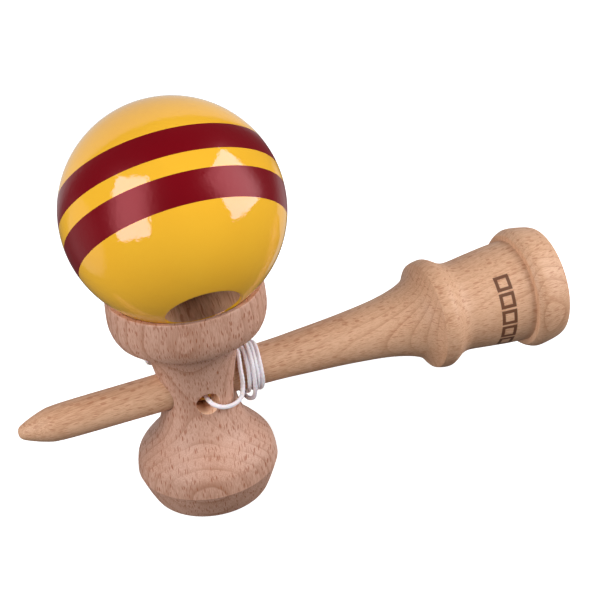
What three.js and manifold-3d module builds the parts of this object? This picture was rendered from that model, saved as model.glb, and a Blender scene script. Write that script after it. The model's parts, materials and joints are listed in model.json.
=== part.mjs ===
// A kendama: a turned wooden handle (the ken) through a crosspiece of two cups (the sarado), and a
// painted ball (the tama) on a string.  Millimetres, +Z up.  The toy stands on its small cup, the
// handle lies along +X, and the ball sits in the big cup.
//
// Everything is laid out from the crossing of the ken's axis (along X) and the sarado's axis (along Z).
import * as THREE from "three";
import { mergeVertices } from "three/addons/utils/BufferGeometryUtils.js";
import Module from "manifold-3d";

const wasm = await Module();
wasm.setup();

// ---- driving dimensions ----------------------------------------------------------------------------
const GAP = 0.3; // air between pieces that touch
const BALL_RADIUS = 30;
const SPIKE_REACH = 51.2; // crossing to the spike's tip
const BASE_REACH = 109.6; // crossing to the base cup's rim
const BIG_CUP_REACH = 31.0; // crossing up to the big cup's rim
const SMALL_CUP_REACH = 34.7; // crossing down to the small cup's rim
const BIG_RIM_RADIUS = 20.5; // circle the ball rests on
const SMALL_RIM_RADIUS = 14.4;
const BASE_RIM_RADIUS = 14.4;
const BIG_CUP_DEPTH = 14;
const SMALL_CUP_DEPTH = 10;
const BASE_CUP_DEPTH = 8;
const SPIKE_HOLE_RADIUS = 10; // hole in the ball that the spike catches
const SPIKE_HOLE_DEPTH = 42; // from the ball's surface
const HOLE_TILT = 48.5; // string hole's lean back from straight up, degrees
const HOLE_TURN = 3.3; // and its turn towards +X
const STRING_RADIUS = 0.65;
const STRING_DROP = -0.9; // height of the string's holes from the crossing
const WRAPS_START = 12.2; // the windings' two ends along the ken
const WRAPS_END = 18.2;

const LATHE_SEGMENTS = 32;
const SMALL_SEGMENTS = 16;

// ---- places worked out from them -------------------------------------------------------------------
const ORIGIN = new THREE.Vector3((SPIKE_REACH - BASE_REACH) / 2, 0, SMALL_CUP_REACH); // the crossing
const BALL_HEIGHT = BIG_CUP_REACH + Math.sqrt((BALL_RADIUS + GAP) ** 2 - BIG_RIM_RADIUS ** 2);
const BALL_CENTRE = new THREE.Vector3(0, 0, BALL_HEIGHT);
const HOLE_AXIS = new THREE.Vector3().setFromSphericalCoords(
  1, THREE.MathUtils.degToRad(HOLE_TILT), THREE.MathUtils.degToRad(HOLE_TURN));
HOLE_AXIS.set(HOLE_AXIS.x, HOLE_AXIS.z, HOLE_AXIS.y); // spherical coordinates are measured from +Y

// ---- materials -------------------------------------------------------------------------------------
const finish = (color, roughness, metalness = 0) =>
  new THREE.MeshStandardMaterial({ color, roughness, metalness });
const kenWood = finish(0xd9ac84, 0.62);
const saradoWood = finish(0xcda68a, 0.62);
const paint = finish(0xf0b429, 0.15);
const cord = finish(0xe9e5ea, 0.7);
const brass = finish(0xb8923a, 0.3, 1);
const beadPlastic = finish(0x2a2622, 0.4);

// ---- tools -----------------------------------------------------------------------------------------
function toSolid(geometry) {
  const bare = geometry.clone();
  bare.deleteAttribute("normal");
  bare.deleteAttribute("uv");
  const merged = mergeVertices(bare, 1e-4);
  const mesh = new wasm.Mesh({
    numProp: 3,
    vertProperties: merged.attributes.position.array,
    triVerts: new Uint32Array(merged.index.array),
  });
  return new wasm.Manifold(mesh);
}

function toGeometry(solid) {
  const mesh = solid.getMesh();
  const geometry = new THREE.BufferGeometry();
  geometry.setAttribute("position", new THREE.BufferAttribute(mesh.vertProperties, 3));
  geometry.setIndex(new THREE.BufferAttribute(mesh.triVerts, 1));
  return geometry;
}

const cut = (geometry, ...cutters) =>
  toGeometry(cutters.reduce((solid, cutter) => solid.subtract(toSolid(cutter)), toSolid(geometry)));

// Turned solids: an outline of (radius, station) about the local Y axis.
const turned = (outline, segments = LATHE_SEGMENTS) => new THREE.LatheGeometry(outline, segments);

const points = (pairs) => pairs.map(([radius, station]) => new THREE.Vector2(radius, station));

// A ring outline: bottom station, top station, inner radius, outer radius, with bevelled outer edges.
function ringOutline(from, to, inner, outer, bevel) {
  return points([
    [inner, from], [outer - bevel, from], [outer, from + bevel], [outer, to - bevel], [outer - bevel, to],
    [inner, to], [inner, from],
  ]);
}

// A drill along Y from yFrom to yTo, its centre at the given height from the ken's axis.
function drill(radius, yFrom, yTo, height = STRING_DROP) {
  const geometry = new THREE.CylinderGeometry(radius, radius, yTo - yFrom, SMALL_SEGMENTS);
  return geometry.translate(0, (yFrom + yTo) / 2, height);
}

// A cup's hollow, from beside its rim to the axis: the arc of a sphere, `depth` deep behind the mouth.
function hollowArc(rim, mouth, depth, steps = 7) {
  const radius = (rim ** 2 + depth ** 2) / (2 * depth);
  const side = Math.sign(mouth);
  const centre = mouth + side * (radius - depth);
  const open = Math.asin(rim / radius);
  return Array.from({ length: steps }, (_, i) => {
    const angle = open * (1 - (i + 1) / steps);
    return new THREE.Vector2(radius * Math.sin(angle), centre - side * radius * Math.cos(angle));
  });
}

// ---- ken -------------------------------------------------------------------------------------------
const TIP_LENGTH = 9; // the spike's pointed end
const SHAFT = [[4.8, -SPIKE_REACH + TIP_LENGTH], [5.1, -36], [5.25, -16], [5.45, 0], [5.85, 20.8], [6.4, 31],
  [7.45, 45.5], [9.0, 57.9], [11.6, 66.4], [15.5, 70.3]];

function shaftRadius(station) {
  const next = SHAFT.findIndex(([, x]) => x > station);
  const [r0, x0] = SHAFT[next - 1];
  const [r1, x1] = SHAFT[next];
  return r0 + ((r1 - r0) * (station - x0)) / (x1 - x0);
}

function kenOutline() {
  const path = new THREE.Path();
  path.moveTo(0, -SPIKE_REACH);
  path.bezierCurveTo(1.3, -SPIKE_REACH, 1.8, -SPIKE_REACH + 0.6, 2.3, -SPIKE_REACH + 1.7);
  path.bezierCurveTo(3.1, -SPIKE_REACH + 3.4, 4.2, -SPIKE_REACH + 6.2, ...SHAFT[0]);
  path.splineThru(points(SHAFT.slice(1)));
  path.splineThru(points([[16.1, 72.6], [15.5, 75.4], [14.0, 77.3]])); // the grip's bead
  path.splineThru(points([[13.3, 80.5], [14.0, 87], [14.7, 93], [15.2, 98.3]])); // the body
  path.splineThru(points([[16.9, 99.1], [17.9, 102.6], [17.2, 107.4], [16.4, BASE_REACH]])); // the lip
  path.lineTo(BASE_RIM_RADIUS, BASE_REACH);
  return [...path.getPoints(2), ...hollowArc(BASE_RIM_RADIUS, BASE_REACH, BASE_CUP_DEPTH)];
}

const STRING_BORE = 1.0; // radius of the string's hole in the ken, its eyelet and its bead
const EYELET_RADIUS = 1.4; // its barrel, outside
const EYELET_FLANGE = 1.75;
const EYELET_DEPTH = 3;
const KNOT_RADIUS = 1.8;
const KNOT_POCKET = 1.8; // the pocket behind the ken's hole starts this far behind its axis

function makeKen() {
  const geometry = turned(kenOutline()).rotateZ(-Math.PI / 2); // stations now run along +X
  const front = -shaftRadius(0);
  return cut(
    geometry,
    drill(STRING_BORE, front - 1, KNOT_POCKET + 1),
    drill(EYELET_RADIUS + GAP / 2, front - 1, front + EYELET_DEPTH + GAP),
    drill(KNOT_RADIUS + GAP, KNOT_POCKET, shaftRadius(0) + 1),
  );
}

// ---- sarado ----------------------------------------------------------------------------------------
function saradoOutline() {
  const small = SMALL_CUP_REACH;
  const big = BIG_CUP_REACH;
  const path = new THREE.Path();
  path.moveTo(SMALL_RIM_RADIUS, -small);
  path.lineTo(16.1, -small);
  path.splineThru(points([[16.7, -34.0], [18.2, -31], [19.6, -25.9]])); // band below the crease
  path.splineThru(points([[20.0, -23.4], [19.4, -20.2], [16.6, -17], [12.8, -12.8], [10.6, -6], [10.4, 0],
    [11.8, 8.3], [13.4, 13], [16.2, 16.7], [20.1, 19.2]])); // flare, waist and neck
  path.splineThru(points([[21.5, 21.5], [21.9, 24.2], [21.6, 30.2], [21.1, big]])); // the big cup's band
  path.lineTo(BIG_RIM_RADIUS, big);
  return [
    ...hollowArc(SMALL_RIM_RADIUS, -small, SMALL_CUP_DEPTH).reverse(),
    ...path.getPoints(2),
    ...hollowArc(BIG_RIM_RADIUS, big, BIG_CUP_DEPTH),
  ];
}

const STRING_WINDOW = 3.3; // hole in the sarado's waist that the string comes out of
const WINDOW_DROP = -1.5; // its height from the crossing

function makeSarado() {
  const geometry = turned(saradoOutline()).rotateX(Math.PI / 2); // stations now run along +Z
  const bore = points([[0, -25], [shaftRadius(-25) + GAP, -25], [shaftRadius(0) + GAP, 0],
    [shaftRadius(25) + GAP, 25], [0, 25]]);
  return cut(geometry, turned(bore).rotateZ(-Math.PI / 2), drill(STRING_WINDOW, -30, 0, WINDOW_DROP));
}

// ---- tama, turned about its hole's axis: the string hole is at +Y and the spike hole at -Y ----------
const STRING_HOLE_RADIUS = 2;
const COUNTERSINK_RADIUS = 4.2;
const COUNTERSINK_DEPTH = 4;
const HOLE_END = SPIKE_HOLE_DEPTH - BALL_RADIUS; // station of the spike hole's blind end
const BEAD_RADIUS = 4.5;
const BEAD_TOP = HOLE_END - 0.4; // the bead bears on the blind end
const BEAD_BOTTOM = BEAD_TOP - 5;
const BEAD_ROUND = 1.4;

function tamaOutline() {
  const mouth = -Math.acos(SPIKE_HOLE_RADIUS / BALL_RADIUS);
  const pole = Math.acos(COUNTERSINK_RADIUS / BALL_RADIUS);
  const path = new THREE.Path();
  path.absarc(0, 0, BALL_RADIUS, mouth, pole, false);
  const sphere = path.getPoints(13);
  const holes = points([
    [STRING_HOLE_RADIUS, BALL_RADIUS - COUNTERSINK_DEPTH],
    [STRING_HOLE_RADIUS, HOLE_END],
    [SPIKE_HOLE_RADIUS - 3, HOLE_END],
    [SPIKE_HOLE_RADIUS - 0.6, HOLE_END - 4],
  ]);
  return [...sphere, ...holes, sphere[0].clone()];
}

function makeBead() {
  return turned(ringOutline(BEAD_BOTTOM, BEAD_TOP, STRING_BORE, BEAD_RADIUS, BEAD_ROUND), SMALL_SEGMENTS);
}

// A simple stopper knot: two lobes, one over the other.
function knotOutline(radius, from) {
  return points([[0, from], [radius * 0.7, from + 0.25 * radius], [radius, from + 0.8 * radius],
    [radius * 0.8, from + 1.2 * radius], [radius, from + 1.6 * radius], [radius * 0.6, from + 2.2 * radius],
    [0, from + 2.3 * radius]]);
}

// ---- string ----------------------------------------------------------------------------------------
const LEAD_ROUTE = [[0, 1.4, STRING_DROP], [0, -3, STRING_DROP], [0, -6.6, STRING_DROP],
  [0, -8.6, -1.0], [0.8, -10.6, -1.7], [2.8, -11.5, -2.7], [5.2, -10.8, -3.6], [7.2, -9.5, -4.2],
  [8.8, -8.4, -4.25], [10.15, -7.45, -3.55]];

const TAIL_ROUTE = [[10.0, 8.1, 6.8], [6.8, 10.9, 6.3], [1.0, 12.9, 5.0], [-6.0, 11.8, 3.4],
  [-10.0, 9.8, 4.0], [-11.7, 8.1, 7.1], [-13.2, 10.2, 11.9], [-15.2, 14.2, 16.5], [-16.4, 17.4, 21.5],
  [-15.7, 18.9, 27], [-14.2, 20.9, 33], [-12.6, 25.4, 40], [-10.0, 29.1, 47], [-7.2, 30.6, 54],
  [-4.6, 30.1, 61], [-2.0, 27.6, 67.8]];

const round = new THREE.Shape().absarc(0, 0, STRING_RADIUS, 0, 2 * Math.PI, false);
const octagon = new THREE.Shape(round.getPoints(8).slice(0, 8));

function tube(route, steps) {
  const curve = new THREE.CatmullRomCurve3(route.map((place) => new THREE.Vector3(...place)));
  return new THREE.ExtrudeGeometry(octagon, { steps, extrudePath: curve, bevelEnabled: false });
}

function makeWraps() {
  const middle = (WRAPS_START + WRAPS_END) / 2;
  const inner = shaftRadius(middle) + 2 * GAP;
  const outline = ringOutline(WRAPS_START, WRAPS_END, inner, inner + 2 * STRING_RADIUS, STRING_RADIUS / 2);
  return turned(outline).rotateZ(-Math.PI / 2);
}

function makeEyelet() {
  const face = shaftRadius(0) + GAP; // flange's back face, clear of the shaft's round
  const bore = STRING_BORE;
  const outline = points([[bore, face - EYELET_DEPTH], [EYELET_RADIUS, face - EYELET_DEPTH],
    [EYELET_RADIUS, face], [EYELET_FLANGE, face], [EYELET_FLANGE, face + 0.4], [bore + 0.35, face + 0.75],
    [bore, face + 0.5], [bore, face - EYELET_DEPTH]]);
  return turned(outline, SMALL_SEGMENTS).rotateZ(Math.PI).translate(0, 0, STRING_DROP);
}

// ---- assembly --------------------------------------------------------------------------------------
function piece(name, geometry, material, parent) {
  const mesh = new THREE.Mesh(geometry, material);
  mesh.name = name;
  parent.add(mesh);
  return mesh;
}

const kendama = new THREE.Group();
const crossing = new THREE.Group();
crossing.position.copy(ORIGIN);
kendama.add(crossing);

piece("ken", makeKen(), kenWood, crossing);
piece("sarado", makeSarado(), saradoWood, crossing);
piece("string_eyelet", makeEyelet(), brass, crossing);
piece("string_lead", tube(LEAD_ROUTE, 16), cord, crossing);
piece("string_wraps", makeWraps(), cord, crossing);
piece("string_tail", tube(TAIL_ROUTE, 48), cord, crossing);
const kenKnot = piece("string_knot_ken", turned(knotOutline(1.4, 0), SMALL_SEGMENTS), cord, crossing);
kenKnot.position.set(0, 1.4 + GAP, STRING_DROP);

const ball = new THREE.Group();
ball.position.copy(BALL_CENTRE);
ball.quaternion.setFromUnitVectors(new THREE.Vector3(0, 1, 0), HOLE_AXIS);
crossing.add(ball);
piece("tama", turned(tamaOutline()), paint, ball);
piece("string_bead", makeBead(), beadPlastic, ball);
const INNER_ROUTE = [[0, BALL_RADIUS - COUNTERSINK_DEPTH, 0], [0, 16, 0], [0, BEAD_BOTTOM, 0]];
piece("string_inner", tube(INNER_ROUTE, 6), cord, ball);
const beadKnot = piece("string_knot_bead", turned(knotOutline(2.2, 0), SMALL_SEGMENTS), cord, ball);
beadKnot.rotation.x = Math.PI;
beadKnot.position.y = BEAD_BOTTOM - GAP;

export default kendama;
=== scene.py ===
import json
import math

import bmesh
import bpy
import numpy as np
from mathutils import Matrix, Vector


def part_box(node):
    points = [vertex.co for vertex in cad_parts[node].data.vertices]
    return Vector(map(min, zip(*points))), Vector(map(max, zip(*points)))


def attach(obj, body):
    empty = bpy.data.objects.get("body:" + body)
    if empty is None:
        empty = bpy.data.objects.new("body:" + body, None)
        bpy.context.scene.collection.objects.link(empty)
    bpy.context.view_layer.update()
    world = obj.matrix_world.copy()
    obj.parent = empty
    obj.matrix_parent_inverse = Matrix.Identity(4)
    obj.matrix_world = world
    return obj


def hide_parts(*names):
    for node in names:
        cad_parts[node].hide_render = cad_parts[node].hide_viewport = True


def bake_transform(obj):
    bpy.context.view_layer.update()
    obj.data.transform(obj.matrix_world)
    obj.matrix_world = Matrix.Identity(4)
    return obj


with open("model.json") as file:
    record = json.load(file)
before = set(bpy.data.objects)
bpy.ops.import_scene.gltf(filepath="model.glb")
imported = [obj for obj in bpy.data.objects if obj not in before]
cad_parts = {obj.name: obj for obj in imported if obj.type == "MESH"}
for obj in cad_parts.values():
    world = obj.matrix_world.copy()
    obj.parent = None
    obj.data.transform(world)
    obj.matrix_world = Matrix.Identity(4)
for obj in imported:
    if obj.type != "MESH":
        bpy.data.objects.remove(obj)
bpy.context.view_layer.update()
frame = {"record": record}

# A kendama, kept with its ball in the big cup and its string wound round the handle.  The handle (the
# ken) runs along +X, the crosspiece (the sarado) stands along Z, and they cross at CROSSING.
MM = 0.001

# ---- sizes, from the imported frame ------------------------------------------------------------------
KEN_LOW, KEN_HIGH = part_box("ken")
SARADO_LOW, SARADO_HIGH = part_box("sarado")
BALL_LOW, BALL_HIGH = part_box("tama")
JOINTS = {joint["name"]: joint for joint in frame["record"]["behaviour"]["joints"]}

CROSSING = Vector(((SARADO_LOW[0] + SARADO_HIGH[0]) / 2, 0, (KEN_LOW[2] + KEN_HIGH[2]) / 2))
BALL_CENTRE = Vector(JOINTS["bead_swivel"]["pos_m"])
HOLE_AXIS = Vector(JOINTS["bead_swivel"]["axis"]).normalized()  # towards the string's hole

# Outlines are written in millimetres from the crossing, or from the ball's centre.
SPIKE_REACH = (CROSSING.x - KEN_LOW[0]) / MM
BASE_REACH = (KEN_HIGH[0] - CROSSING.x) / MM
BIG_CUP_REACH = (SARADO_HIGH[2] - CROSSING.z) / MM
SMALL_CUP_REACH = (CROSSING.z - SARADO_LOW[2]) / MM
BALL_RADIUS = round((BALL_HIGH[0] - BALL_LOW[0]) / MM) / 2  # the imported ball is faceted
BALL_GAP = 0.05  # air between the ball and the cup's rim
BIG_RIM_RADIUS = math.sqrt(
    (BALL_RADIUS + BALL_GAP) ** 2 - ((BALL_CENTRE.z - CROSSING.z) / MM - BIG_CUP_REACH) ** 2)
SMALL_RIM_RADIUS = 14.4
BASE_RIM_RADIUS = 14.4
STRING_RADIUS = 0.65
STRING_DROP = -0.9  # height of the string's holes from the crossing

TURNED_SEGMENTS = 192
BALL_SEGMENTS = 224
BORE_SEGMENTS = 128
SMALL_SEGMENTS = 64
CURVE_POINTS = 16
CORNER_POINTS = 7
CUP_POINTS = 40
BALL_POINTS = 150
KNOT_POINTS = 30


def placed(point):
    """A point in millimetres from the crossing, in the frame's metres."""
    return CROSSING + Vector(point) * MM


def direction(azimuth, elevation):
    """The way that is turned by azimuth from +Y towards +X, and raised by elevation."""
    level = math.cos(elevation)
    return Vector((math.sin(azimuth) * level, math.cos(azimuth) * level, math.sin(elevation)))


# ---- camera ----------------------------------------------------------------------------------------
CAMERA_AZIMUTH = math.radians(19.51)  # it stands this far round towards -X from a view along +Y
CAMERA_ELEVATION = math.radians(29.59)
CAMERA_ROLL = math.radians(5.79)
CAMERA_DISTANCE = 431.64 * MM
CAMERA_AIM = placed((32.23, -1.07, 17.18))
CAMERA_LENS = 92.99


def make_camera():
    ahead = direction(CAMERA_AZIMUTH, -CAMERA_ELEVATION)
    level = direction(CAMERA_AZIMUTH + math.pi / 2, 0)
    upright = level.cross(ahead)
    right = level * math.cos(CAMERA_ROLL) - upright * math.sin(CAMERA_ROLL)
    camera = bpy.data.objects.new("camera", bpy.data.cameras.new("camera"))
    camera.data.lens = CAMERA_LENS
    camera.data.clip_start = 0.01
    turn = Matrix((right, right.cross(ahead), -ahead)).transposed()
    camera.matrix_world = Matrix.Translation(CAMERA_AIM - ahead * CAMERA_DISTANCE) @ turn.to_4x4()
    bpy.context.collection.objects.link(camera)
    bpy.context.scene.camera = camera


# ---- outlines --------------------------------------------------------------------------------------
def spline(points, per_span=10):
    """A Catmull-Rom curve through flat or solid points, with per_span steps from each to the next."""
    p = np.array(points, float)
    ends = np.vstack([p[0], p, p[-1]])
    steps = np.linspace(0, 1, per_span, endpoint=False)[:, None]
    runs = []
    for a, b, c, d in zip(ends, ends[1:], ends[2:], ends[3:]):
        pull = (c - a) / 2
        push = (d - b) / 2
        cubic = 2 * b - 2 * c + pull + push
        square = 3 * c - 3 * b - 2 * pull - push
        runs.append(cubic * steps ** 3 + square * steps ** 2 + pull * steps + b)
    return np.vstack(runs + [p[-1]])


def bezier(start, pull, push, end):
    """A cubic curve from start to end, led by the two points between them."""
    t = np.linspace(0, 1, CURVE_POINTS)[:, None]
    weights = [(1 - t) ** 3, 3 * t * (1 - t) ** 2, 3 * t * t * (1 - t), t ** 3]
    return sum(w * np.array(p, float) for w, p in zip(weights, (start, pull, push, end)))


def line(*points, step=1.0):
    """Straight runs through the points, in steps of about `step`."""
    runs = []
    for a, b in zip(points, points[1:]):
        a, b = np.array(a, float), np.array(b, float)
        count = max(2, int(np.linalg.norm(b - a) / step) + 1)
        runs.append(a + (b - a) * np.linspace(0, 1, count, endpoint=False)[:, None])
    return np.vstack(runs + [points[-1]])


def hollow(rim, mouth, depth):
    """A cup's inside from its rim to the axis: the arc of a sphere, `depth` deep behind the mouth."""
    radius = (rim ** 2 + depth ** 2) / (2 * depth)
    side = math.copysign(1, mouth)
    centre = mouth + side * (radius - depth)
    angle = np.linspace(math.asin(rim / radius), 0, CUP_POINTS)
    return np.column_stack([radius * np.sin(angle), centre - side * radius * np.cos(angle)])


def trimmed(points, size):
    """The points without the first `size` of their length."""
    for i in range(len(points) - 1):
        step = np.linalg.norm(points[i + 1] - points[i])
        if step > size:
            return np.vstack([points[i] + (points[i + 1] - points[i]) * size / step, points[i + 1:]])
        size -= step
    return points[-1:]


def joined(*parts):
    """Runs of an outline end to end, each corner between them eased by the number between them."""
    outline = np.array(parts[0])
    for ease, run in zip(parts[1::2], parts[2::2]):
        corner = outline[-1]
        before = trimmed(outline[::-1], ease)[::-1]
        after = trimmed(np.array(run), ease)
        t = np.linspace(0, 1, CORNER_POINTS)[1:-1, None]
        arc = (1 - t) ** 2 * before[-1] + 2 * t * (1 - t) * corner + t * t * after[0]
        outline = np.vstack([before, arc, after])
    return outline


# ---- meshes ----------------------------------------------------------------------------------------
def add_mesh(name, vertices, faces):
    mesh = bpy.data.meshes.new(name)
    mesh.from_pydata([tuple(v) for v in vertices], [], faces)
    mesh.validate()
    piece = bpy.data.objects.new(name, mesh)
    bpy.context.collection.objects.link(piece)
    return piece


def finish_mesh(piece, sharp=35):
    """Outward faces and smooth shading, with creases where the surface turns by over `sharp` degrees."""
    work = bmesh.new()
    work.from_mesh(piece.data)
    bmesh.ops.recalc_face_normals(work, faces=work.faces)
    work.to_mesh(piece.data)
    work.free()
    piece.data.shade_smooth()
    piece.data.set_sharp_from_angle(angle=math.radians(sharp))
    return piece


def turned(name, outline, axis, origin, segments=TURNED_SEGMENTS, closed=False):
    """A turned solid: (radius, station) in millimetres about a line through origin along axis.  A closed
    outline runs back to its first point instead of ending on the line."""
    turn = Vector(axis).to_track_quat("Z", "Y").to_matrix().to_4x4()
    place = Matrix.Translation(origin) @ turn
    vertices, rings, faces = [], [], []
    for radius, station in outline:
        spots = 1 if radius < 1e-4 else segments
        rings.append(range(len(vertices), len(vertices) + spots))
        for i in range(spots):
            angle = 2 * math.pi * i / segments
            spot = Vector((radius * math.cos(angle), radius * math.sin(angle), station)) * MM
            vertices.append(place @ spot)
    following = rings[1:] + rings[:1] if closed else rings[1:]
    for low, high in zip(rings, following):
        for i in range(segments):
            j = (i + 1) % segments
            corners = [low[i % len(low)], low[j % len(low)], high[j % len(high)], high[i % len(high)]]
            faces.append(list(dict.fromkeys(corners)))
    return finish_mesh(add_mesh(name, vertices, faces))


def cut(piece, *cutters):
    """piece without the space of the cutters, which are used up."""
    bpy.context.view_layer.objects.active = piece
    for cutter in cutters:
        modifier = piece.modifiers.new("cut", "BOOLEAN")
        modifier.solver = "EXACT"
        modifier.object = cutter
        bpy.ops.object.modifier_apply(modifier=modifier.name)
        bpy.data.objects.remove(cutter)
    return finish_mesh(piece)


def drill(radius, start, end, centre=(0, 0, STRING_DROP)):
    """A cutter along Y from start to end."""
    outline = [(0, start), (radius, start), (radius, end), (0, end)]
    return turned("drill", outline, (0, 1, 0), placed(centre), SMALL_SEGMENTS)


# ---- the ken ---------------------------------------------------------------------------------------
TIP_LENGTH = 9
SHAFT = [(4.8, -SPIKE_REACH + TIP_LENGTH), (5.1, -36), (5.25, -16), (5.45, 0), (5.85, 20.8), (6.4, 31),
         (7.45, 45.5), (9.0, 57.9), (11.6, 66.4), (15.6, 70.1)]
BASE_CUP_DEPTH = 8
STRING_BORE = 1.0
KNOT_BORE = 2.4  # radius of the room for the stopper knot, drilled from behind
KNOT_BORE_START = 1.8
KEN_KNOT_SIZE = 0.48


def shaft_radius(station):
    """The ken's radius at a station between its spike and its bead."""
    radii, stations = zip(*SHAFT)
    return float(np.interp(station, stations, radii))


def ken_outline():
    s = -SPIKE_REACH
    point = bezier((0, s), (1.3, s), (1.8, s + 0.6), (2.3, s + 1.7))
    cone = bezier((2.3, s + 1.7), (3.1, s + 3.4), (4.2, s + 6.2), SHAFT[0])
    grip = spline(SHAFT)
    bead = spline([(15.6, 70.1), (16.05, 71.8), (16.0, 74.0), (14.0, 77.3)])
    body = spline([(14.0, 77.3), (13.3, 80.5), (14.0, 87), (14.7, 93), (15.2, 99.3)])
    step = line((15.2, 99.3), (16.7, 99.4), step=0.2)
    lip = spline([(16.7, 99.4), (17.55, 100.8), (17.95, 102.8), (17.2, 107.4), (16.4, BASE_REACH)])
    rim = line((16.4, BASE_REACH), (BASE_RIM_RADIUS, BASE_REACH), step=0.3)
    cup = hollow(BASE_RIM_RADIUS, BASE_REACH, BASE_CUP_DEPTH)
    return joined(
        point, 0.3, cone, 0.5, grip, 0.06, bead, 0.6, body, 0.1, step, 0.2, lip, 0.5, rim, 0.4, cup)


def make_ken():
    piece = turned("ken_turned", ken_outline(), (1, 0, 0), CROSSING)
    face = shaft_radius(0) + 1  # just clear of the wood
    cut(piece, drill(STRING_BORE, -face, 3), drill(KNOT_BORE, KNOT_BORE_START, face))
    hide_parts("ken")
    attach(piece, "root")
    return piece


# ---- the sarado ------------------------------------------------------------------------------------
SMALL_CUP_DEPTH = 10
BIG_CUP_DEPTH = 14
STRING_WINDOW = 3.35  # radius of the hole in the waist that the string comes out of
WINDOW_CENTRE = (-0.4, 0, -1.3)  # a little off the string's own hole behind it
PUSH_FIT = 0.12  # air round the ken in the sarado
BORE_REACH = 25  # the ken's bore is cut this far to each side, past the widest cup


def sarado_outline():
    low, top = -SMALL_CUP_REACH, BIG_CUP_REACH
    small_cup = hollow(SMALL_RIM_RADIUS, low, SMALL_CUP_DEPTH)[::-1]
    foot = line((SMALL_RIM_RADIUS, low), (16.1, low), step=0.3)
    band = spline([(16.1, low), (16.9, -33.6), (18.4, -30.2), (20.0, -25.9)])
    waist = spline([(20.0, -25.9), (19.75, -23.2), (18.95, -20.2), (16.5, -17), (12.8, -12.8),
                    (10.6, -6), (10.4, 0), (11.8, 8.3), (13.3, 12.9), (16.0, 16.3), (20.4, 18.9)])
    big_band = spline([(20.4, 18.9), (21.35, 21.0), (21.85, 24.2), (21.6, 30.2), (21.1, top)])
    rim = line((21.1, top), (BIG_RIM_RADIUS, top), step=0.2)
    big_cup = hollow(BIG_RIM_RADIUS, top, BIG_CUP_DEPTH)
    return joined(small_cup, 0.4, foot, 0.5, band, 0.06, waist, 0.1, big_band, 0.25, rim, 0.15, big_cup)


def make_sarado(wood, window_painted_light_wood):
    piece = turned("sarado_turned", sarado_outline(), (0, 0, 1), CROSSING)
    taper = [(shaft_radius(station) + PUSH_FIT, station) for station in (-BORE_REACH, 0, BORE_REACH)]
    bore = [(0, -BORE_REACH), *taper, (0, BORE_REACH)]
    window = drill(STRING_WINDOW, -BIG_RIM_RADIUS, 0, WINDOW_CENTRE)
    cut(piece, turned("bore", bore, (1, 0, 0), CROSSING, BORE_SEGMENTS), window)
    piece.data.materials.append(wood)
    # The window's wall takes a much lighter copy of the sarado's beech: painted light that brightens a
    # recess which would otherwise sit in shade.
    piece.data.materials.append(window_painted_light_wood)
    for face in piece.data.polygons:
        spot = (face.center - placed(WINDOW_CENTRE)) / MM
        on_window_wall = spot.y < 0 and math.hypot(spot.x, spot.z) < STRING_WINDOW + 0.01
        face.material_index = int(on_window_wall)
    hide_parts("sarado")
    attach(piece, "root")
    return piece


# ---- the tama --------------------------------------------------------------------------------------
SPIKE_HOLE_RADIUS = 10
HOLE_END = 12  # station of the spike hole's blind end
COUNTERSINK_RADIUS = 4.2
COUNTERSINK_DEPTH = 4
STRING_HOLE_RADIUS = 2
PAINT_DEPTH = 0.7  # how far the lacquer runs into the holes
BAND_EDGES = (-10.68, -2.92, 2.15, 9.98)  # heights of the crimson bands' edges along the hole's axis


def tama_outline():
    """Closed, from the string hole over the ball to the spike hole, and back inside."""
    pole = math.acos(COUNTERSINK_RADIUS / BALL_RADIUS)
    mouth = -math.acos(SPIKE_HOLE_RADIUS / BALL_RADIUS)
    edges = [math.asin(height / BALL_RADIUS) for height in BAND_EDGES]
    angle = np.sort(np.concatenate([np.linspace(pole, mouth, BALL_POINTS), edges]))[::-1]
    ball = BALL_RADIUS * np.column_stack([np.cos(angle), np.sin(angle)])
    bowl = spline([(SPIKE_HOLE_RADIUS - 0.6, HOLE_END - 4), (SPIKE_HOLE_RADIUS - 1.2, HOLE_END - 1.6),
                   (SPIKE_HOLE_RADIUS - 3, HOLE_END)])
    throat = BALL_RADIUS - COUNTERSINK_DEPTH
    return joined(
        ball, 0.7, line(ball[-1], bowl[0]), 0.1, bowl, 0.3,
        line((SPIKE_HOLE_RADIUS - 3, HOLE_END), (STRING_HOLE_RADIUS, HOLE_END)), 0.2,
        line((STRING_HOLE_RADIUS, HOLE_END), (STRING_HOLE_RADIUS, throat)), 0.5,
        line((STRING_HOLE_RADIUS, throat), (COUNTERSINK_RADIUS, ball[0][1] + 0.4)))


def make_tama(yellow, crimson, wood):
    piece = turned("tama_turned", tama_outline(), HOLE_AXIS, BALL_CENTRE, BALL_SEGMENTS, closed=True)
    for material in (yellow, crimson, wood):
        piece.data.materials.append(material)
    for face in piece.data.polygons:
        spot = (face.center - BALL_CENTRE) / MM
        band = np.searchsorted(BAND_EDGES, spot.dot(HOLE_AXIS)) % 2
        face.material_index = 2 if BALL_RADIUS - spot.length > PAINT_DEPTH else int(band)
    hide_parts("tama")
    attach(piece, "tama")
    return piece


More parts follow.
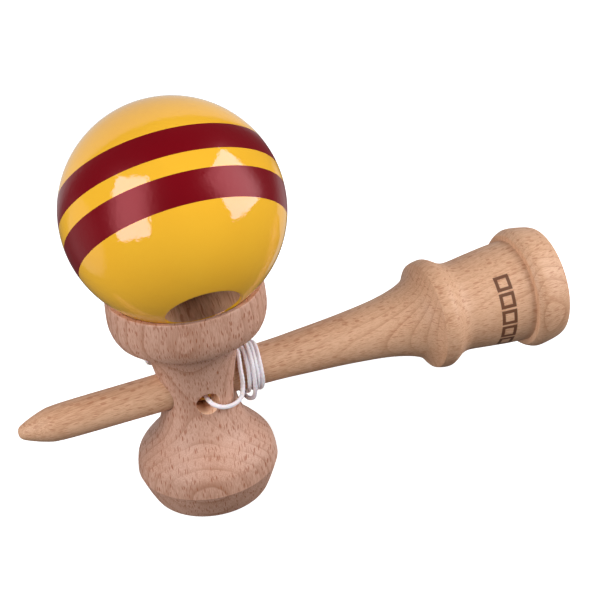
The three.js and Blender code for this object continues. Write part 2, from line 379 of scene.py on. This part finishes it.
# ---- the string ------------------------------------------------------------------------------------
# The lead comes out of the ken's hole and the window, and runs to the winding's start at the front.
# The tail leaves the winding at the back, passes behind the waist and climbs behind the big cup.
LEAD_ROUTE = [
    (0, 1.4, STRING_DROP), (0, -3, STRING_DROP), (0, -6.6, STRING_DROP), (0, -8.6, -1.0),
    (0.8, -10.6, -1.7), (2.8, -11.5, -2.7), (5.2, -10.8, -3.6), (7.2, -9.5, -4.2), (8.8, -8.4, -4.25),
    (10.15, -7.45, -3.55)]
TAIL_ROUTE = [
    (10.0, 8.1, 6.8), (6.8, 10.9, 6.3), (1.0, 12.9, 5.0), (-6.0, 11.8, 3.4), (-10.0, 9.8, 4.0),
    (-11.7, 8.1, 7.1), (-13.2, 10.2, 11.9), (-15.2, 14.2, 16.5), (-16.4, 17.4, 21.5), (-15.7, 18.9, 27),
    (-14.2, 20.9, 33), (-12.6, 25.4, 40), (-10.0, 29.1, 47), (-7.2, 30.6, 54), (-4.6, 30.1, 61),
    (-2.0, 27.6, 67.8)]
# The winding: turns made since it first comes up the front of the ken, the station it lies at, and its
# height above the wood.  It hangs in a loose loop below before its second turn.
WINDING = [
    (-0.03, 11.0, 0.3), (0.04, 11.15, 0.05), (0.11, 11.35, 0), (0.15, 11.7, 0), (0.25, 12.6, 0),
    (0.38, 12.4, 0), (0.5, 11.9, 0), (0.6, 12.0, 0.3), (0.68, 12.8, 1.7), (0.73, 13.1, 2.2),
    (0.76, 13.35, 2.45), (0.79, 13.65, 2.5), (0.825, 14.0, 2.4), (0.86, 14.35, 1.9), (0.9, 14.5, 1.2),
    (0.945, 14.5, 0.7), (1.0, 14.5, 0.45), (1.07, 14.65, 0.4), (1.14, 14.85, 0.5), (1.2, 15.15, 0.6),
    (1.28, 15.6, 0.6), (1.4, 15.5, 0.2), (1.5, 15.3, 0), (1.75, 15.4, 0), (1.92, 15.7, 0),
    (2.0, 15.75, 0), (2.12, 15.9, 0), (2.2, 16.4, 0), (2.28, 16.9, 0), (2.5, 16.7, 0), (2.75, 16.8, 0),
    (2.92, 17.05, 0), (3.05, 17.0, 0), (3.12, 17.15, 0), (3.2, 17.6, 0), (3.28, 18.0, 0),
    (3.38, 17.8, 0.3), (3.48, 16.9, 1.2), (3.58, 15.7, 1.2), (3.68, 14.3, 0.6), (3.77, 13.4, 0.1),
    (3.86, 13.2, 0), (4.0, 13.25, 0), (4.07, 13.45, 0), (4.14, 13.7, 0), (4.23, 14.1, 0.1),
    (4.31, 13.6, 0.7), (4.36, 12.8, 1.8)]
POINTS_PER_TURN = 16
WINDING_GAP = 0.05  # air between the wood and a turn that lies on it


def eased_value(xs, ys, x):
    """The smooth curve through (xs, ys) at x: a cubic between neighbours, with shared slopes."""
    slopes = np.gradient(ys, xs)
    i = int(np.clip(np.searchsorted(xs, x, side="right") - 1, 0, len(xs) - 2))
    span = xs[i + 1] - xs[i]
    t = (x - xs[i]) / span
    return ((2 * t ** 3 - 3 * t ** 2 + 1) * ys[i] + (t ** 3 - 2 * t ** 2 + t) * span * slopes[i]
            + (3 * t ** 2 - 2 * t ** 3) * ys[i + 1] + (t ** 3 - t ** 2) * span * slopes[i + 1])


def winding_route():
    """The winding as points round the ken, POINTS_PER_TURN of them in a turn."""
    turns, stations, lifts = (np.array(column) for column in zip(*WINDING))
    route = []
    for turn in np.arange(turns[0], turns[-1], 1 / POINTS_PER_TURN):
        station = eased_value(turns, stations, turn)
        reach = shaft_radius(station) + STRING_RADIUS + WINDING_GAP + eased_value(turns, lifts, turn)
        angle = 2 * math.pi * turn
        route.append((station, -reach * math.cos(angle), reach * math.sin(angle)))
    return route


def hole_route():
    """From the last of the tail over the countersink's edge and down into the string's hole, given as
    (way along the ball, height) from the middle of the hole."""
    centre = (BALL_CENTRE - CROSSING) / MM
    arriving = (centre + HOLE_AXIS * BALL_RADIUS) - Vector(TAIL_ROUTE[-1])
    along = (arriving - HOLE_AXIS * arriving.dot(HOLE_AXIS)).normalized()
    steps = [(-3.6, 0.75), (-1.3, -0.8), (-0.25, -3.2), (0, -5.6)]
    return [tuple(centre + HOLE_AXIS * (BALL_RADIUS + height) + along * way) for way, height in steps]


def resampled(points, step):
    """Points spaced evenly along the run through the given ones, about `step` apart."""
    lengths = np.concatenate([[0], np.cumsum(np.linalg.norm(np.diff(points, axis=0), axis=1))])
    marks = np.linspace(0, lengths[-1], int(lengths[-1] / step) + 1)
    return np.column_stack([np.interp(marks, lengths, points[:, k]) for k in range(points.shape[1])])


BRAID_STRANDS = 6
BRAID_PITCH = 2.2  # length along the string of one strand's crossing pattern, mm
BRAID_RELIEF = 0.07
TUBE_SIDES = 24
TUBE_STEP = 0.16


def braided(name, route):
    """A woven cord along a route in millimetres, closed at both ends, its strands raised in diamonds;
    and the centreline that it follows."""
    centres = resampled(spline(route, 12), TUBE_STEP)
    ahead = np.gradient(centres, axis=0)
    ahead /= np.linalg.norm(ahead, axis=1)[:, None]
    side = np.cross(ahead[0], (0.3, 0.2, 1.0))
    angle = np.arange(TUBE_SIDES) * 2 * math.pi / TUBE_SIDES
    vertices, faces = [], []
    for i, (centre, way) in enumerate(zip(centres, ahead)):
        side = side - way * side.dot(way)
        side /= np.linalg.norm(side)
        across = np.cross(way, side)
        along = i * TUBE_STEP / BRAID_PITCH * 2 * math.pi
        weave = np.cos(BRAID_STRANDS / 2 * angle + along) * np.cos(BRAID_STRANDS / 2 * angle - along)
        reach = STRING_RADIUS - BRAID_RELIEF / 2 + BRAID_RELIEF * weave
        spokes = np.outer(np.cos(angle), side) + np.outer(np.sin(angle), across)
        vertices.extend(placed(spot) for spot in centre + reach[:, None] * spokes)
        if i:
            low = (i - 1) * TUBE_SIDES
            for k in range(TUBE_SIDES):
                j = (k + 1) % TUBE_SIDES
                faces.append((low + k, low + j, low + TUBE_SIDES + j, low + TUBE_SIDES + k))
    faces.append(range(TUBE_SIDES))
    faces.append(range(len(vertices) - TUBE_SIDES, len(vertices)))
    return finish_mesh(add_mesh(name, vertices, faces), 60), centres


KNOT_OPENING = 0.35  # how far each end of a knot is cut back from the trefoil's start, in radians


def knot_route(start, axis, size):
    """An overhand knot that begins at start and runs along axis: a trefoil, cut open at one lobe."""
    turn = Vector(axis).to_track_quat("Z", "Y").to_matrix()
    route = []
    for t in np.linspace(KNOT_OPENING, 2 * math.pi - KNOT_OPENING, KNOT_POINTS):
        x = math.sin(t) + 2 * math.sin(2 * t)
        y = math.cos(t) - 2 * math.cos(2 * t)
        spot = turn @ (Vector((x, y, -1.3 * math.sin(3 * t) + 2.2)) * size)
        route.append(tuple(Vector(start) + spot))
    return route


def make_string():
    route = LEAD_ROUTE + winding_route() + TAIL_ROUTE + hole_route()
    piece, centres = braided("string_run", route)
    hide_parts("string_lead", "string_wraps", "string_tail")
    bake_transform(piece)
    return piece, centres


BEAD_RADIUS = 4.5
BEAD_TOP = HOLE_END - 0.4
BEAD_BOTTOM = BEAD_TOP - 5
BEAD_KNOT_SIZE = 0.68


def make_bead():
    """The bead inside the ball that the string is knotted under."""
    round_edge = 1.4
    wall = spline([(BEAD_RADIUS - round_edge, BEAD_BOTTOM), (BEAD_RADIUS - 0.35, BEAD_BOTTOM + 0.6),
                   (BEAD_RADIUS, (BEAD_BOTTOM + BEAD_TOP) / 2), (BEAD_RADIUS - 0.35, BEAD_TOP - 0.6),
                   (BEAD_RADIUS - round_edge, BEAD_TOP)])
    outline = joined(
        line((STRING_BORE, BEAD_BOTTOM), wall[0], step=0.4), 0.2, wall, 0.2,
        line(wall[-1], (STRING_BORE, BEAD_TOP), step=0.4), 0.3,
        line((STRING_BORE, BEAD_TOP), (STRING_BORE, BEAD_BOTTOM + 0.3), step=0.4))
    piece = turned("bead", outline, HOLE_AXIS, BALL_CENTRE, SMALL_SEGMENTS, closed=True)
    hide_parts("string_bead")
    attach(piece, "string_end")
    return piece


def make_inner_string():
    """The string's run from the ball's string hole down through the bead, and its stopper knot below."""
    centre = (BALL_CENTRE - CROSSING) / MM
    depths = [BALL_RADIUS - COUNTERSINK_DEPTH - 1.6, 20, 16, 12, BEAD_BOTTOM]
    run, _ = braided("string_inner_run", [tuple(centre + HOLE_AXIS * depth) for depth in depths])
    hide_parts("string_inner")
    below = centre + HOLE_AXIS * (BEAD_BOTTOM - 0.6)
    knot, _ = braided("string_bead_knot", knot_route(below, -HOLE_AXIS, BEAD_KNOT_SIZE))
    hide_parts("string_knot_bead")
    for piece in (run, knot):
        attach(piece, "string_end")
    return [run, knot]


def make_ken_knot():
    start = (0, KNOT_BORE_START + 0.1, STRING_DROP)
    knot, _ = braided("string_ken_knot", knot_route(start, (0, 1, 0), KEN_KNOT_SIZE))
    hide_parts("string_knot_ken")
    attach(knot, "root")
    return knot


def make_eyelet():
    """A rolled brass eyelet that lines the string's hole in the ken."""
    barrel, flange = 1.35, 1.75
    face = shaft_radius(0) + 0.12
    roll = spline([(flange, face), (flange + 0.08, face + 0.25), (flange - 0.2, face + 0.5),
                   (STRING_BORE + 0.25, face + 0.5), (STRING_BORE, face + 0.1)])
    outline = joined(
        line((STRING_BORE, face - 3), (barrel, face - 3), step=0.1), 0.1,
        line((barrel, face - 3), (barrel, face), step=0.3), 0.05,
        line((barrel, face), (flange, face), step=0.1), 0.02, roll, 0.02,
        line((STRING_BORE, face + 0.1), (STRING_BORE, face - 2.9), step=0.3))
    hole = placed((0, 0, STRING_DROP))
    piece = turned("eyelet", outline, (0, -1, 0), hole, SMALL_SEGMENTS, closed=True)
    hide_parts("string_eyelet")
    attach(piece, "root")
    return piece


# ---- materials -------------------------------------------------------------------------------------
# The mark burnt into the ken's body: a row of plain square outlines that runs round it.
BURN_STATION = 90.8
BURN_RADIUS = 14.4  # the body's radius there
BURN_MIDDLE = 0.5  # round the body from its front, upwards
BURN_SQUARES = 5
BURN_PITCH = 5.2
BURN_INSIDE = 1.3  # half a square's inner and outer width
BURN_OUTSIDE = 2.3
BURN_EDGE = 0.1  # half the width over which a line's edge fades


class Surface:
    """A node material under construction, with short calls for the nodes that it uses."""

    def __init__(self, name, roughness=0.5, metallic=0.0, **sockets):
        self.material = bpy.data.materials.new(name)
        self.material.use_nodes = True
        self.nodes = self.material.node_tree.nodes
        self.links = self.material.node_tree.links
        self.shader = self.nodes["Principled BSDF"]
        self.shader.inputs["Roughness"].default_value = roughness
        self.shader.inputs["Metallic"].default_value = metallic
        for socket, value in sockets.items():
            self.shader.inputs[socket.replace("_", " ")].default_value = value

    def put(self, socket, value):
        if isinstance(value, bpy.types.NodeSocket):
            self.links.new(value, socket)
        else:
            socket.default_value = value

    def node(self, kind, inputs=(), **settings):
        node = self.nodes.new(kind)
        for key, value in settings.items():
            setattr(node, key, value)
        for key, value in dict(inputs).items():
            self.put(node.inputs[key], value)
        return node

    def math(self, operation, *values):
        return self.node("ShaderNodeMath", dict(enumerate(values)), operation=operation).outputs[0]

    def vector_math(self, operation, first, second):
        inputs = {0: first, 1: tuple(second)}
        return self.node("ShaderNodeVectorMath", inputs, operation=operation).outputs

    def dot(self, vector, way):
        return self.vector_math("DOT_PRODUCT", vector, way)["Value"]

    def vector(self, x, y, z):
        return self.node("ShaderNodeCombineXYZ", {0: x, 1: y, 2: z}).outputs[0]

    def stretched(self, vector, sizes):
        """The vector counted in cells of the given sizes."""
        return self.vector_math("MULTIPLY", vector, [1 / size for size in sizes])[0]

    def noise(self, vector, detail=2.0, roughness=0.5):
        inputs = {"Vector": vector, "Scale": 1.0, "Detail": detail, "Roughness": roughness}
        return self.node("ShaderNodeTexNoise", inputs).outputs[0]

    def ramp(self, value, low, high, low_value=0.0, high_value=1.0):
        """A smooth step from low_value to high_value as value goes from low to high."""
        inputs = {"Value": value, "From Min": low, "From Max": high}
        inputs.update({"To Min": low_value, "To Max": high_value})
        return self.node("ShaderNodeMapRange", inputs, interpolation_type="SMOOTHSTEP").outputs[0]

    def blend(self, amount, first, second):
        node = self.node("ShaderNodeMix", data_type="RGBA")
        self.put(node.inputs["Factor"], amount)
        self.put(node.inputs[6], first)
        self.put(node.inputs[7], second)
        return node.outputs[2]

    def place(self, centre=(0, 0, 0)):
        """The place on the piece, in millimetres from centre."""
        coordinates = self.node("ShaderNodeTexCoord").outputs["Object"]
        return self.stretched(self.vector_math("SUBTRACT", coordinates, centre)[0], (MM, MM, MM))

    def finish(self, colour, height=None, depth=0.05, roughness=None):
        """The finished material; height is its relief, which is depth millimetres deep."""
        self.put(self.shader.inputs["Base Color"], colour)
        if roughness is not None:
            self.put(self.shader.inputs["Roughness"], roughness)
        if height is not None:
            inputs = {"Height": height, "Distance": depth * MM, "Strength": 1.0}
            bump = self.node("ShaderNodeBump", inputs)
            self.put(self.shader.inputs["Normal"], bump.outputs[0])
        return self.material


def rgb(red, green, blue):
    """A colour given as it looks on a screen, 0 to 255, as the shader's linear one."""
    shown = [value / 255 for value in (red, green, blue)]
    linear = [c / 12.92 if c < 0.04045 else ((c + 0.055) / 1.055) ** 2.4 for c in shown]
    return (*linear, 1.0)


def burnt_squares(s, place):
    """How deeply a plain row of square outlines is burnt into the ken's body, 0 to 1."""
    station, front, up = (s.dot(place, axis) for axis in ((1, 0, 0), (0, -1, 0), (0, 0, 1)))
    way = s.math("MULTIPLY", s.math("ARCTAN2", up, front), BURN_RADIUS)
    column = s.math("ADD", way, -BURN_MIDDLE)
    across = s.math("ABSOLUTE", s.math("ADD", station, -BURN_STATION))
    end = BURN_PITCH * BURN_SQUARES / 2
    cell = s.math("FRACT", s.math("DIVIDE", s.math("ADD", column, end), BURN_PITCH))
    beside = s.math("MULTIPLY", s.math("ABSOLUTE", s.math("SUBTRACT", cell, 0.5)), BURN_PITCH)
    size = s.math("MAXIMUM", across, beside)
    stroke = s.math("MULTIPLY", s.ramp(size, BURN_INSIDE - BURN_EDGE, BURN_INSIDE + BURN_EDGE),
                    s.ramp(size, BURN_OUTSIDE + BURN_EDGE, BURN_OUTSIDE - BURN_EDGE))
    in_row = s.ramp(s.math("ABSOLUTE", column), end + BURN_EDGE / 2, end - BURN_EDGE / 2)
    return s.math("MULTIPLY", stroke, in_row)


RING_WAVER = 1.8  # how far a growth ring strays, in millimetres
FLECK_BEND = 1.2  # how far a line of ray flecks strays


def beech(name, light, dark, centre, grain, bark, pith=30, rings=2.3, ring_depth=1.0,
          fleck=(2.4, 0.4, 3.0), fleck_depth=0.7, burn=None):
    """Bare turned beech.  grain is the trunk's direction, bark the way out from its heart to the
    piece's centre, pith that distance and rings the width of one year's growth, in millimetres.
    fleck is the room that each ray fleck has along the grain, round the trunk and out from its
    heart.  The depths say how strongly rings and flecks show, and burn gives a mask for a burnt
    mark."""
    s = Surface(name, Specular_IOR_Level=0.4)
    grain, bark = Vector(grain).normalized(), Vector(bark).normalized()
    across = bark.cross(grain).normalized()
    p = s.place(centre)
    along, side, out = s.dot(p, grain), s.dot(p, across), s.dot(p, bark)
    wood = s.vector(along, side, out)

    # growth rings: wavy shells about the heart, each ending in a thin dark line that comes and goes
    waver = s.noise(s.stretched(wood, (40, 16, 16)), detail=2)
    depth = s.math("ADD", out, pith)
    squares = [s.math("MULTIPLY", distance, distance) for distance in (side, depth)]
    shell = s.math("SQRT", s.math("ADD", *squares))
    wavy_shell = s.math("ADD", shell, s.math("MULTIPLY", waver, RING_WAVER))
    age = s.math("FRACT", s.math("DIVIDE", wavy_shell, rings))
    latewood = s.math("MULTIPLY", s.math("POWER", age, 5.0), s.ramp(age, 0.95, 1.0, 1.0, 0.0))
    presence = s.ramp(s.noise(s.stretched(wood, (30, 12, 12)), detail=1), 0.35, 0.65, 0.3, 1.0)

    # ray flecks: fine dashes along the grain, no two equally dark
    bend = s.math("MULTIPLY", s.noise(s.stretched(wood, (5, 3, 3)), detail=1), FLECK_BEND)
    curled = s.vector(along, s.math("ADD", side, bend), s.math("ADD", out, bend))
    room = s.stretched(curled, fleck)
    cells = s.node("ShaderNodeTexVoronoi", {"Vector": room, "Scale": 1.0})
    chance = s.node("ShaderNodeSeparateColor", {0: cells.outputs["Color"]}).outputs[0]
    dash = s.ramp(cells.outputs["Distance"], 0.42, 0.26)
    flecks = s.math("MULTIPLY", dash, s.ramp(chance, 0.0, 0.8, 0.0, 1.0))

    # fibres, pores, and slow changes of tone
    fibres = s.noise(s.stretched(wood, (3.2, 0.22, 0.22)), detail=3, roughness=0.6)
    pores = s.noise(s.stretched(wood, (0.7, 0.14, 0.14)), detail=1)
    patches = s.noise(s.stretched(wood, (38, 9, 9)), detail=3)
    tone = s.math("ADD", s.ramp(patches, 0.3, 0.7, 0.0, 0.4), s.ramp(fibres, 0.3, 0.7, -0.45, 0.6))
    colour = s.blend(tone, rgb(*light), rgb(*dark))
    line_colour = rgb(*(c * shade for c, shade in zip(dark, (0.9, 0.84, 0.78))))
    fleck_colour = rgb(*(c * shade for c, shade in zip(dark, (0.86, 0.69, 0.57))))
    rings_shown = s.math("MULTIPLY", s.math("MULTIPLY", latewood, presence), ring_depth)
    colour = s.blend(rings_shown, colour, line_colour)
    colour = s.blend(s.math("MULTIPLY", flecks, fleck_depth), colour, fleck_colour)
    colour = s.blend(s.ramp(pores, 0.6, 0.75, 0.0, 0.3), colour, fleck_colour)
    if burn:
        colour = s.blend(s.math("MULTIPLY", burn(s, p), 0.95), colour, rgb(100, 58, 36))
    height = s.math("SUBTRACT", s.math("MULTIPLY", fibres, 0.6), s.math("MULTIPLY", flecks, 0.4))
    return s.finish(colour, height, 0.035, s.ramp(fibres, 0.3, 0.7, 0.45, 0.6))


LACQUER_PEEL = 0.05  # how deep the unevenness of its skin is, in millimetres


def lacquer(name, light, dark, roughness, **sockets):
    """Lacquer sprayed on the ball."""
    s = Surface(name, roughness, **sockets)
    p = s.place()
    cloud = s.noise(s.stretched(p, (14, 14, 14)), detail=3)
    skin = s.noise(s.stretched(p, (1.5, 1.5, 1.5)), detail=3)
    return s.finish(s.blend(cloud, rgb(*light), rgb(*dark)), skin, LACQUER_PEEL)


def nylon():
    """White woven nylon: fine yarn lines crossing on the strands, with a soft sheen."""
    s = Surface("string_nylon", roughness=0.5, Sheen_Weight=0.4, Sheen_Roughness=0.4,
                Subsurface_Weight=0.15, Subsurface_Scale=0.4 * MM)
    p = s.place()
    yarn = s.noise(s.stretched(p, (0.18, 0.18, 0.18)), detail=2)
    soil = s.noise(s.stretched(p, (6, 6, 6)), detail=2)
    colour = s.blend(s.ramp(soil, 0.35, 0.75, 0.0, 0.5), rgb(246, 240, 245), rgb(228, 219, 227))
    colour = s.blend(s.ramp(yarn, 0.4, 0.7, 0.0, 0.35), colour, rgb(203, 191, 201))
    return s.finish(colour, yarn, 0.04)


def brass():
    """Brass with a little tarnish."""
    s = Surface("eyelet_brass", metallic=1.0)
    p = s.place()
    tarnish = s.noise(s.stretched(p, (0.9, 0.9, 0.9)), detail=4)
    colour = s.blend(s.ramp(tarnish, 0.35, 0.7), rgb(244, 212, 120), rgb(200, 160, 80))
    return s.finish(colour, tarnish, 0.01, s.ramp(tarnish, 0.3, 0.7, 0.3, 0.5))


def bead_plastic():
    """Dark satin plastic."""
    s = Surface("bead_plastic")
    p = s.place()
    grain = s.noise(s.stretched(p, (0.4, 0.4, 0.4)), detail=3)
    colour = s.blend(grain, rgb(58, 54, 50), rgb(40, 37, 34))
    return s.finish(colour, grain, 0.02, s.ramp(grain, 0.3, 0.7, 0.35, 0.5))


# ---- stage -----------------------------------------------------------------------------------------
ROOM_GLOW = 0.09
# Where the paper shines: degrees from +Y towards +X, degrees up, half its width in degrees, and
# its brightness.
PAPER_GLOWS = [(5, 14, 35, 0.6), (-65, -15, 20, 0.4), (55, -28, 13, 0.5)]
GLOW_EDGE = 7  # degrees over which each fades out
FLOOR_REACH = 4.0
# The softboxes: name, way from the ball, width and height in metres, lean in degrees, and watts.
SOFTBOXES = [
    ("left_softbox", (-0.789, -0.427, 0.442), 0.52, 0.86, 17, 6.9),
    ("right_softbox", (0.819, -0.428, 0.383), 0.64, 0.72, 0, 7.2)]
SOFTBOX_DISTANCE = 0.8


def make_floor():
    """Pale paper, bright enough by itself to stay pale under the object's soft shadow."""
    corners = [(x * FLOOR_REACH, y * FLOOR_REACH, 0) for x, y in ((-1, -1), (1, -1), (1, 1), (-1, 1))]
    floor = add_mesh("floor", corners, [(0, 1, 2, 3)])
    s = Surface("floor_paper", roughness=0.9, Specular_IOR_Level=0.1, Emission_Color=(1, 1, 1, 1),
                Emission_Strength=0.8)
    floor.data.materials.append(s.finish(rgb(225, 225, 225)))
    floor.visible_diffuse = False
    floor.visible_glossy = False


def make_softbox(name, way, width, height, lean, power):
    """A flat light that faces the ball from the way given, turned in its own plane by lean."""
    light = bpy.data.lights.new(name, "AREA")
    light.shape = "RECTANGLE"
    light.size, light.size_y = width, height
    light.energy = power
    softbox = bpy.data.objects.new(name, light)
    toward = Vector(way).normalized()
    facing = toward.to_track_quat("Z", "Y").to_matrix().to_4x4()
    turn = facing @ Matrix.Rotation(math.radians(lean), 4, "Z")
    softbox.matrix_world = Matrix.Translation(BALL_CENTRE + toward * SOFTBOX_DISTANCE) @ turn
    bpy.context.collection.objects.link(softbox)


def make_world():
    """A dim room in which the paper behind the object, and to its left and right, shines back."""
    world = bpy.data.worlds.new("studio")
    world.use_nodes = True
    nodes, links = world.node_tree.nodes, world.node_tree.links
    outward = nodes.new("ShaderNodeTexCoord").outputs["Generated"]
    background = nodes["Background"]
    background.inputs[0].default_value = (1, 1, 1, 1)
    glow = nodes.new("ShaderNodeValue").outputs[0]
    glow.default_value = ROOM_GLOW
    for azimuth, elevation, half_angle, level in PAPER_GLOWS:
        facing = nodes.new("ShaderNodeVectorMath")
        facing.operation = "DOT_PRODUCT"
        links.new(outward, facing.inputs[0])
        facing.inputs[1].default_value = direction(math.radians(azimuth), math.radians(elevation))
        edge = nodes.new("ShaderNodeMapRange")
        edge.interpolation_type = "SMOOTHSTEP"
        links.new(facing.outputs["Value"], edge.inputs["Value"])
        edge.inputs["From Min"].default_value = math.cos(math.radians(half_angle + GLOW_EDGE))
        edge.inputs["From Max"].default_value = math.cos(math.radians(half_angle))
        edge.inputs["To Max"].default_value = level
        total = nodes.new("ShaderNodeMath")
        links.new(glow, total.inputs[0])
        links.new(edge.outputs[0], total.inputs[1])
        glow = total.outputs[0]
    links.new(glow, background.inputs[1])
    bpy.context.scene.world = world


# ---- assembly --------------------------------------------------------------------------------------
# How the two bare pieces were cut from the trunk, in beech()'s terms.
KEN_CUT = {"centre": CROSSING, "grain": (1, 0, 0), "bark": (0.04, -0.99, -0.1), "rings": 1.8,
           "ring_depth": 0.7, "fleck": (3.0, 0.4, 1.5), "fleck_depth": 0.5}
SARADO_CUT = {"centre": CROSSING, "grain": (0, 0, 1), "bark": (-0.33, -0.94, 0), "pith": 60,
              "fleck": (2.2, 0.38, 3.0), "fleck_depth": 0.9}


def dress(piece, material):
    piece.data.materials.clear()
    piece.data.materials.append(material)


make_camera()
string, string_line = make_string()
eyelet = make_eyelet()
ken_knot = make_ken_knot()
bead = make_bead()
inner_string = make_inner_string()

white = nylon()
for piece in (string, ken_knot, *inner_string):
    dress(piece, white)
dress(eyelet, brass())
dress(bead, bead_plastic())
dress(make_ken(), beech("ken_beech", (221, 177, 144), (196, 144, 110), **KEN_CUT, burn=burnt_squares))
make_sarado(
    beech("sarado_beech", (205, 162, 142), (181, 134, 111), **SARADO_CUT),
    # The second is the same beech made far lighter: painted light for the shaded wall of the string's
    # window.
    beech("window_painted_light_beech", (252, 214, 184), (240, 192, 156), **SARADO_CUT))
make_tama(
    lacquer("yellow_lacquer", (252, 194, 50), (248, 184, 44), 0.03, Specular_IOR_Level=1.0,
            Specular_Tint=(1.0, 0.55, 0.9, 1.0)),
    lacquer("crimson_lacquer", (122, 6, 20), (112, 4, 16), 0.28, Specular_IOR_Level=0.6,
            Specular_Tint=(1.0, 0.32, 0.36, 1.0)),
    beech("tama_beech", (222, 172, 138), (188, 136, 100), BALL_CENTRE, HOLE_AXIS, (1, 0.2, -0.2),
          fleck=(6.0, 0.4, 3.0)))
make_floor()
make_world()
for softbox in SOFTBOXES:
    make_softbox(*softbox)
bpy.context.scene.view_settings.view_transform = "Standard"
